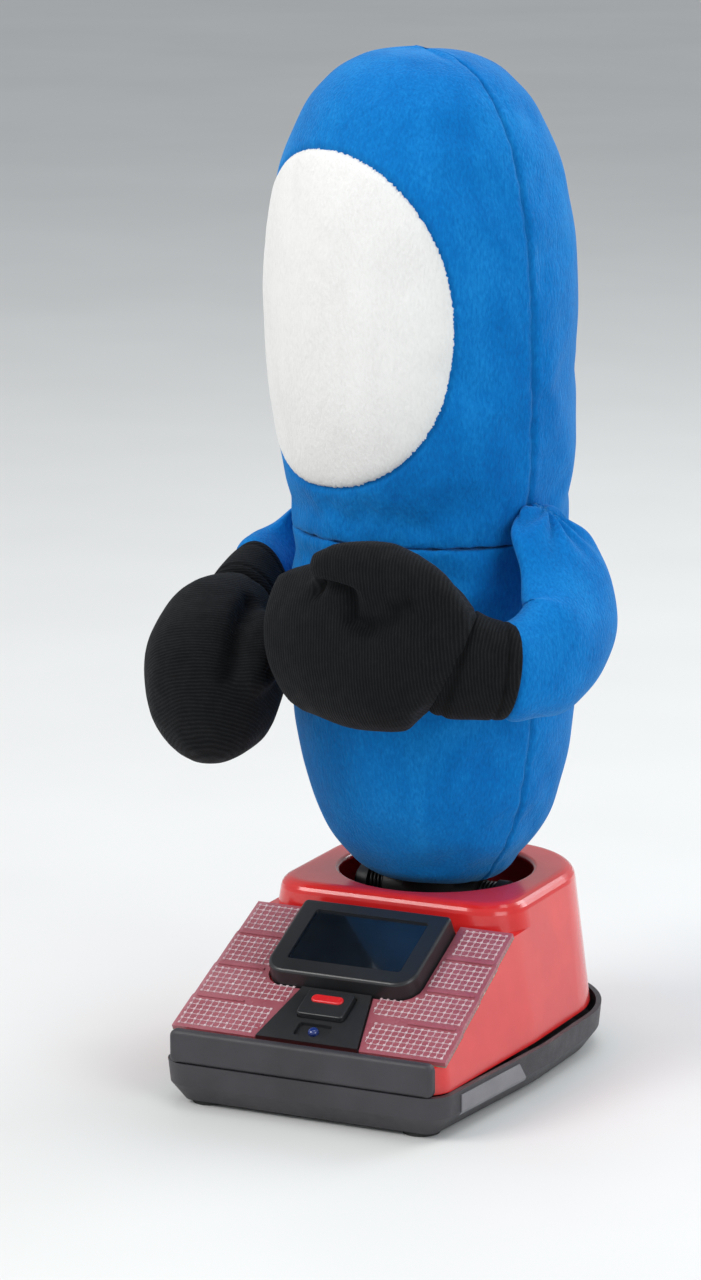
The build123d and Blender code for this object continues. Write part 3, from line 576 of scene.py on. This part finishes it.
def limb(name, stations, thin, paint_name, spacing=0.0045, columns=40, grow=-0.001):
    """Closed limb through oval stations, ends drawn to a point."""
    length = sum(math.dist(a[:3], b[:3]) for a, b in zip(stations, stations[1:])) * MM
    rows, run = limb_rows(stations, max(6, round(length / spacing)))
    centres = rows[:, :3]
    heading = np.gradient(centres, axis=0)
    verts = []
    for centre, ahead, half in zip(centres, heading, rows[:, 3:5]):
        ahead = Vector(ahead).normalized()
        across = Vector(thin)
        across = (across - ahead * across.dot(ahead)).normalized()
        deep = ahead.cross(across)
        for column in range(columns):
            angle = 2 * math.pi * column / columns
            verts.append(
                Vector(centre) + across * math.cos(angle) * (half[0] + grow)
                + deep * math.sin(angle) * (half[1] + grow))
    count = len(centres)
    faces = tube_faces(count, columns)
    start, stop = len(verts), len(verts) + 1
    verts += [Vector(centres[0]), Vector(centres[-1])]
    for c in range(columns):
        d = (c + 1) % columns
        faces.append((d, c, start))
        faces.append(((count - 1) * columns + c, (count - 1) * columns + d, stop))
    item = new_object(name, verts, faces, paint_name)
    if signed_volume(item) < 0:
        item.data.flip_normals()
    return item, count, columns


def signed_volume(item):
    """Signed volume, negative where the faces look inward."""
    mesh = bmesh.new()
    mesh.from_mesh(item.data)
    volume = mesh.calc_volume(signed=True)
    mesh.free()
    return volume


def store_along(item, direction):
    """Stores how far each vertex lies along the direction that the knit's ribs cross."""
    store(item, "along", get_co(item) @ np.array(Vector(direction).normalized()))


def down_limb(item, stations):
    """Distance of each vertex down the limb, in metres."""
    rows, run = limb_rows(stations, 120)
    co = get_co(item)
    near = np.linalg.norm(co[:, None, :] - rows[None, :, :3], axis=2).argmin(axis=1)
    heading = np.gradient(rows[:, :3], axis=0)
    heading /= np.linalg.norm(heading, axis=1, keepdims=True)
    return run[near] + np.einsum("ij,ij->i", co - rows[near, :3], heading[near])


limbs = {}
for side, data in LIMBS.items():
    sleeve, count, columns = limb(f"plush_sleeve_{side}", data["sleeve"], data["thin"][0], "blue_plush")
    pins = np.zeros(len(sleeve.data.vertices))
    pins[:columns] = 1
    pins[(count - 1) * columns:] = 1
    stuff(sleeve, pins, 3.0, 0.0045, 0.05, 0.5)
    cuff, count, columns = limb(f"knit_cuff_{side}", data["cuff"], data["thin"][1], "black_knit", 0.003)
    fist, count, columns = limb(f"knit_glove_{side}", data["fist"], data["thin"][2], "black_knit")
    limbs[side] = (sleeve, cuff, fist)

# thumbs: chains of swelling stations that are fused with the fists
THUMBS = {
    "left": ([(52, -98, 134, 9, 11), (45, -104, 147, 12.5, 13), (33, -109, 155, 14, 14),
              (21, -113, 157.5, 13, 13), (10, -116, 158, 11.5, 11.5), (1, -117, 156.5, 9, 9),
              (-3, -117, 155.5, 4.5, 5)], (0, -1, 0.2)),
    "right": ([(-46, -70, 122, 7, 9), (-43, -79, 116, 10.5, 11), (-42, -89, 107, 10.5, 11),
               (-43, -98, 98, 7, 7)], (1, 0, 0)),
}
for side, (stations, thin) in THUMBS.items():
    thumb, count, columns = limb(f"thumb_{side}", stations, thin, "black_knit", columns=24)
    fist = limbs[side][2]
    mesh = bmesh.new()
    mesh.from_mesh(fist.data)
    mesh.from_mesh(thumb.data)
    mesh.to_mesh(fist.data)
    mesh.free()
    bpy.data.objects.remove(thumb)
    remesh = fist.modifiers.new("shell", "REMESH")
    remesh.mode = "VOXEL"
    remesh.voxel_size = 0.004
    apply_modifiers(fist)
    fist.data.materials.clear()
    fist.data.materials.append(PAINTS["black_knit"].material)
    opening = np.array(LIMBS[side]["fist"][0][:3]) * MM + np.array((0, 0, COLLAR))
    reach = np.linalg.norm(get_co(fist) - opening, axis=1)
    stuff(fist, (reach < 0.022).astype(float), 3.0, 0.003, 0.02, 1.0)

run_stuffing()


# ---- seams, creases and folds after the simulation ------------------------------------
def relax(item, keep, rounds):
    """Evens the surface out where keep is 0."""
    pairs = np.array([edge.vertices[:] for edge in item.data.edges])
    count = np.bincount(pairs.ravel(), minlength=len(item.data.vertices))[:, None]
    co = get_co(item)
    for step in range(rounds):
        total = np.zeros_like(co)
        np.add.at(total, pairs[:, 0], co[pairs[:, 1]])
        np.add.at(total, pairs[:, 1], co[pairs[:, 0]])
        co += (total / count - co) * 0.5 * (1 - keep)[:, None]
    set_co(item, co)


def groove(item, gap, depth, width, shoulder=0.0):
    """Draws the surface in where gap, the distance to a seam, is small."""
    near = np.exp(-(gap / width) ** 2)
    wide = np.exp(-(gap / (4 * width)) ** 2) - near
    set_co(item, get_co(item) - get_normals(item) * (depth * near - shoulder * wide)[:, None])
    return near


def to_path(co, path):
    """Distance from each vertex to a line of points in metres."""
    path = np.asarray(path, float)
    best = np.full(len(co), 9.0)
    for a, b in zip(path, path[1:]):
        d = b - a
        t = np.clip(((co - a) @ d) / (d @ d), 0, 1)
        best = np.minimum(best, np.linalg.norm(co - a - t[:, None] * d, axis=1))
    return best


FACE_Z = COLLAR + 0.253
FACE_HALF = (math.radians(57), 0.0725)  # angle round the head, height
FACE_POWER = 2.2  # a little squarer than an ellipse
FACE_OUT = Vector((math.sin(TURN), -math.cos(TURN), 0))
HEAD_R = 0.066


def oval_gap(co):
    """Signed distance, roughly, from the edge of the face oval."""
    x = (body_angle(co) - TURN + math.pi) % (2 * math.pi) - math.pi
    x = x / FACE_HALF[0]
    z = (co[:, 2] - FACE_Z) / FACE_HALF[1]
    r = (np.abs(x) ** FACE_POWER + np.abs(z) ** FACE_POWER) ** (1 / FACE_POWER) + 1e-9
    return (r - 1) / np.sqrt((x / r / FACE_HALF[0] / HEAD_R) ** 2 + (z / r / FACE_HALF[1]) ** 2)


for item in (torso, head):
    subdivide(item, 2)
    co = get_co(item)
    angle = body_angle(co)
    ripple = np.array([wave(v, 55) for v in co])
    tuck = np.array([wave(v, 160, 7.0) for v in co])
    set_co(item, co + get_normals(item) * (0.0005 * ripple)[:, None])
    side_gap = np.abs(np.cos(angle - TURN)) * 0.062
    neck_gap = np.abs(co[:, 2] - COLLAR - NECK)
    mark = groove(item, side_gap, 0.0011, 0.0013, 0.0003)
    mark = np.maximum(mark, 0.2 * groove(item, neck_gap, 0.0001, 0.0011, 0.0002))
    pucker = np.exp(-(np.minimum(side_gap, neck_gap) / 0.006) ** 2)
    set_co(item, get_co(item) + get_normals(item) * (0.0008 * pucker * tuck)[:, None])
    if item is head:
        gap = oval_gap(co)
        mark = np.maximum(mark, 0.8 * groove(item, gap, 0.0012, 0.0016))
    # the stored mask is painted shade in the side-seam, neck and face-oval grooves
    store(item, "groove_shade", mark)

for side, (sleeve, cuff, fist) in limbs.items():
    run = down_limb(sleeve, LIMBS[side]["sleeve"])
    relax(sleeve, ((run < 0.012) | (run > run.max() - 0.006)).astype(float), 10)
    subdivide(sleeve, 2)
    run = down_limb(sleeve, LIMBS[side]["sleeve"])
    co = get_co(sleeve)
    top = Vector(LIMBS[side]["top"]) * MM + Vector((0, 0, COLLAR))
    turn = np.arctan2(co[:, 1] - top.y, -(co[:, 2] - top.z))
    pleat = np.sin(turn * 10 + 2 * np.array([wave(v, 40) for v in co]))
    fade = np.exp(-((run - 0.010) / 0.016) ** 2)
    set_co(sleeve, co + get_normals(sleeve) * (0.0014 * pleat * fade)[:, None])
    ripple = np.array([wave(v, 48, 3.0) for v in get_co(sleeve)])
    set_co(sleeve, get_co(sleeve) + get_normals(sleeve) * (0.0011 * ripple)[:, None])
    # the stored mask is painted shade in the pleat valleys
    store(sleeve, "groove_shade", 0.6 * fade * np.clip(-pleat, 0, 1))

    subdivide(cuff, 2)
    store_along(cuff, LIMBS[side]["rib"])
    run = down_limb(cuff, LIMBS[side]["cuff"])
    end = run.max()
    mark = groove(cuff, run - (end - 0.006), 0.0008, 0.0009)
    mark = np.maximum(mark, groove(cuff, run - 0.0065, 0.0005, 0.0008))
    # the stored mask is painted shade in the cuff grooves
    store(cuff, "groove_shade", mark)

    subdivide(fist, 1)
    store_along(fist, LIMBS[side]["rib"])
    ripple = np.array([wave(v, 38, 5.0) for v in get_co(fist)])
    set_co(fist, get_co(fist) + get_normals(fist) * (0.0012 * ripple)[:, None])

# each fold: points in millimetres, above the collar in height, then depth and half width in metres
CREASES = {
    "left": [([(-4, -122, 148), (4, -127, 147.5), (12, -130, 145.5), (20, -131, 142), (27, -131, 139)],
              0.006, 0.0034),
             ([(27, -131, 139), (35, -129, 140.5), (44, -123, 144)], 0.0026, 0.0034)],
    "right": [([(-37, -72, 126), (-33, -82, 118), (-33, -94, 104)], 0.003, 0.003),
              ([(-54, -72, 130), (-54, -86, 120), (-53, -100, 104)], 0.0045, 0.0035)],
}
for side, lines in CREASES.items():
    fist = limbs[side][2]
    mark = np.zeros(len(fist.data.vertices))
    shell = BVHTree.FromObject(fist, bpy.context.evaluated_depsgraph_get())
    for path, depth, width in lines:
        rows = np.column_stack((np.arange(len(path)), np.array(path, float) * MM + np.array((0, 0, COLLAR))))
        points = smooth_curve(rows, np.linspace(0, len(path) - 1, 24))
        points = [shell.find_nearest(Vector(point))[0] for point in points]
        mark = np.maximum(mark, groove(fist, to_path(get_co(fist), points), depth, width))
    # the stored mask is painted shade along the creases
    store(fist, "groove_shade", 0.5 * mark)

# ---- white face oval -------------------------------------------------------------------
graph = bpy.context.evaluated_depsgraph_get()
skin = BVHTree.FromObject(head, graph)
RINGS = [0.0, 0.12, 0.24, 0.36, 0.48, 0.59, 0.69, 0.78, 0.86, 0.92, 0.955, 0.975, 0.987, 0.995, 1.0, 1.006]
AROUND = 900
RAY_START = 0.03
verts, faces = [], []
for ring, radius in enumerate(RINGS):
    for step in range(1 if ring == 0 else AROUND):
        angle = 2 * math.pi * step / AROUND
        ragged = 0.0007 * noise.noise(Vector((math.cos(angle) * 60, math.sin(angle) * 60, 1.0)))
        ragged += 0.0005 * noise.noise(Vector((math.cos(angle) * 170, math.sin(angle) * 170, 4.0)))
        share = radius**6
        s, c = math.sin(angle), math.cos(angle)
        bow = (abs(s) ** FACE_POWER + abs(c) ** FACE_POWER) ** (-1 / FACE_POWER)
        x = s * bow * (FACE_HALF[0] * radius + ragged * share / HEAD_R)
        z = FACE_Z - c * bow * (FACE_HALF[1] * radius + ragged * share)
        surface = Vector(level_oval(z - COLLAR, TURN + x))
        inside = Vector(((0, level_middle(z - COLLAR), z)))
        outward = (surface - inside).normalized()
        hit, normal = skin.ray_cast(surface + outward * RAY_START, -outward)[:2]
        lift = 0.0009 if radius < 0.99 else 0.0009 - (radius - 0.99) / 0.016 * 0.0022
        lift += 0.0012 * (1 - radius**4)
        verts.append(hit + normal * lift)
for step in range(AROUND):
    faces.append((0, 1 + (step + 1) % AROUND, 1 + step))
for ring in range(len(RINGS) - 2):
    low = 1 + ring * AROUND
    for step in range(AROUND):
        nxt = (step + 1) % AROUND
        faces.append((low + step, low + nxt, low + AROUND + nxt, low + AROUND + step))
face = new_object("plush_face_oval", verts, faces, "white_plush")
if face.data.polygons[0].normal.dot(FACE_OUT) < 0:
    face.data.flip_normals()
backing = face.modifiers.new("backing", "SOLIDIFY")
backing.thickness = 0.001
backing.offset = -1
apply_modifiers(face)
store(face, "groove_shade", np.zeros(len(face.data.vertices)))

# ---- moulded grid on the deck covers ------------------------------------------------------
SLOPE = math.radians(25)
DECK_AT = Vector((0, -0.053, 0.070))
deck_frame = Matrix((
    (1, 0, 0), (0, math.cos(SLOPE), -math.sin(SLOPE)), (0, math.sin(SLOPE), math.cos(SLOPE)))).to_4x4()
deck_frame.translation = DECK_AT


def deck_blocks(name, blocks, paint_name, chamfer=0.00012):
    """Small chamfered blocks on the deck: x0, x1, y0, y1, z0, z1 in millimetres."""
    verts, faces = [], []
    for x0, x1, y0, y1, z0, z1 in blocks:
        base = len(verts)
        c = chamfer / MM
        for x, y, z in (
            (x0, y0, z0), (x1, y0, z0), (x1, y1, z0), (x0, y1, z0),
            (x0, y0, z1 - c), (x1, y0, z1 - c), (x1, y1, z1 - c), (x0, y1, z1 - c),
            (x0 + c, y0 + c, z1), (x1 - c, y0 + c, z1), (x1 - c, y1 - c, z1), (x0 + c, y1 - c, z1)):
            verts.append(deck_frame @ Vector((x * MM, y * MM, z * MM)))
        for low in (0, 4):
            for k in range(4):
                n = (k + 1) % 4
                faces.append((base + low + k, base + low + n, base + low + 4 + n, base + low + 4 + k))
        faces.append((base + 3, base + 2, base + 1, base))
        faces.append((base + 8, base + 9, base + 10, base + 11))
    return new_object(name, verts, faces, paint_name, smooth=False)


# down the slope and across it, in millimetres
DISPLAY_HALF = 37.4
CORNER_R = 10.9
CORNER_X = 26.5
CORNER_Y = -41
CONSOLE_TOP = 17.6
CONSOLE_RUN = 33.1
CONSOLE_SPREAD = 7.5
PANEL_PITCH = 21.5
PITCH = 3.1
GRID_FOOT = -0.1  # the grid's bars start just inside the cover
DOT_HALF, DOT_TOP = 0.55, 0.42
BAR_HALF, BAR_TOP, BAR_GAP = 0.16, 0.2, 0.75


def inner_edge(y):
    """Inner edge of a deck cover: beside the display, round its corner, then down the console."""
    if y > CORNER_Y:
        return DISPLAY_HALF
    if y > CORNER_Y - CORNER_R:
        return CORNER_X + math.sqrt(CORNER_R**2 - (y - CORNER_Y) ** 2)
    return CONSOLE_TOP - (y - CORNER_Y + CORNER_R) / CONSOLE_RUN * CONSOLE_SPREAD


for side in (-1, 1):
    blocks = []
    for panel in range(4):
        top = -PANEL_PITCH * panel - 1.4
        bottom = -PANEL_PITCH * (panel + 1) + 1.5
        edge = 61.0 + 0.9 * panel
        lines = np.arange(top - 1.0, bottom, -PITCH)
        for y in lines:
            inner = inner_edge(y - 0.4) + 0.8
            for x in np.arange(edge - 1.6, inner + 0.4, -PITCH):
                blocks.append((x - DOT_HALF, x + DOT_HALF, y - DOT_HALF, y + DOT_HALF, GRID_FOOT, DOT_TOP))
                left_end, right_end = x - PITCH + BAR_GAP, x - BAR_GAP
                low_end, high_end = y - PITCH + BAR_GAP, y - BAR_GAP
                if x - PITCH > inner:
                    blocks.append((left_end, right_end, y - BAR_HALF, y + BAR_HALF, GRID_FOOT, BAR_TOP))
                if y - PITCH > bottom:
                    blocks.append((x - BAR_HALF, x + BAR_HALF, low_end, high_end, GRID_FOOT, BAR_TOP))
    if side < 0:
        blocks = [(-x1, -x0, *rest) for x0, x1, *rest in blocks]
    label = "left" if side > 0 else "right"
    grid = deck_blocks(f"deck_grid_{label}", blocks, "moulded_grid")
    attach(grid, "base")

# ---- riders ---------------------------------------------------------------------------------
for item, replaced in ((torso, "torso"), (head, "head"), (face, "face_patch")):
    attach(item, "figure")
    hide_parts(replaced)
for side, (sleeve, cuff, fist) in limbs.items():
    arm = f"{side}_arm"
    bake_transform(sleeve)
    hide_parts(f"sleeve_{side}")
    for item, replaced in ((cuff, f"glove_cuff_{side}"), (fist, f"glove_{side}")):
        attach(item, arm)
        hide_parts(replaced)

for node in nodes.values():
    node.data.set_sharp_from_angle(angle=math.radians(32))
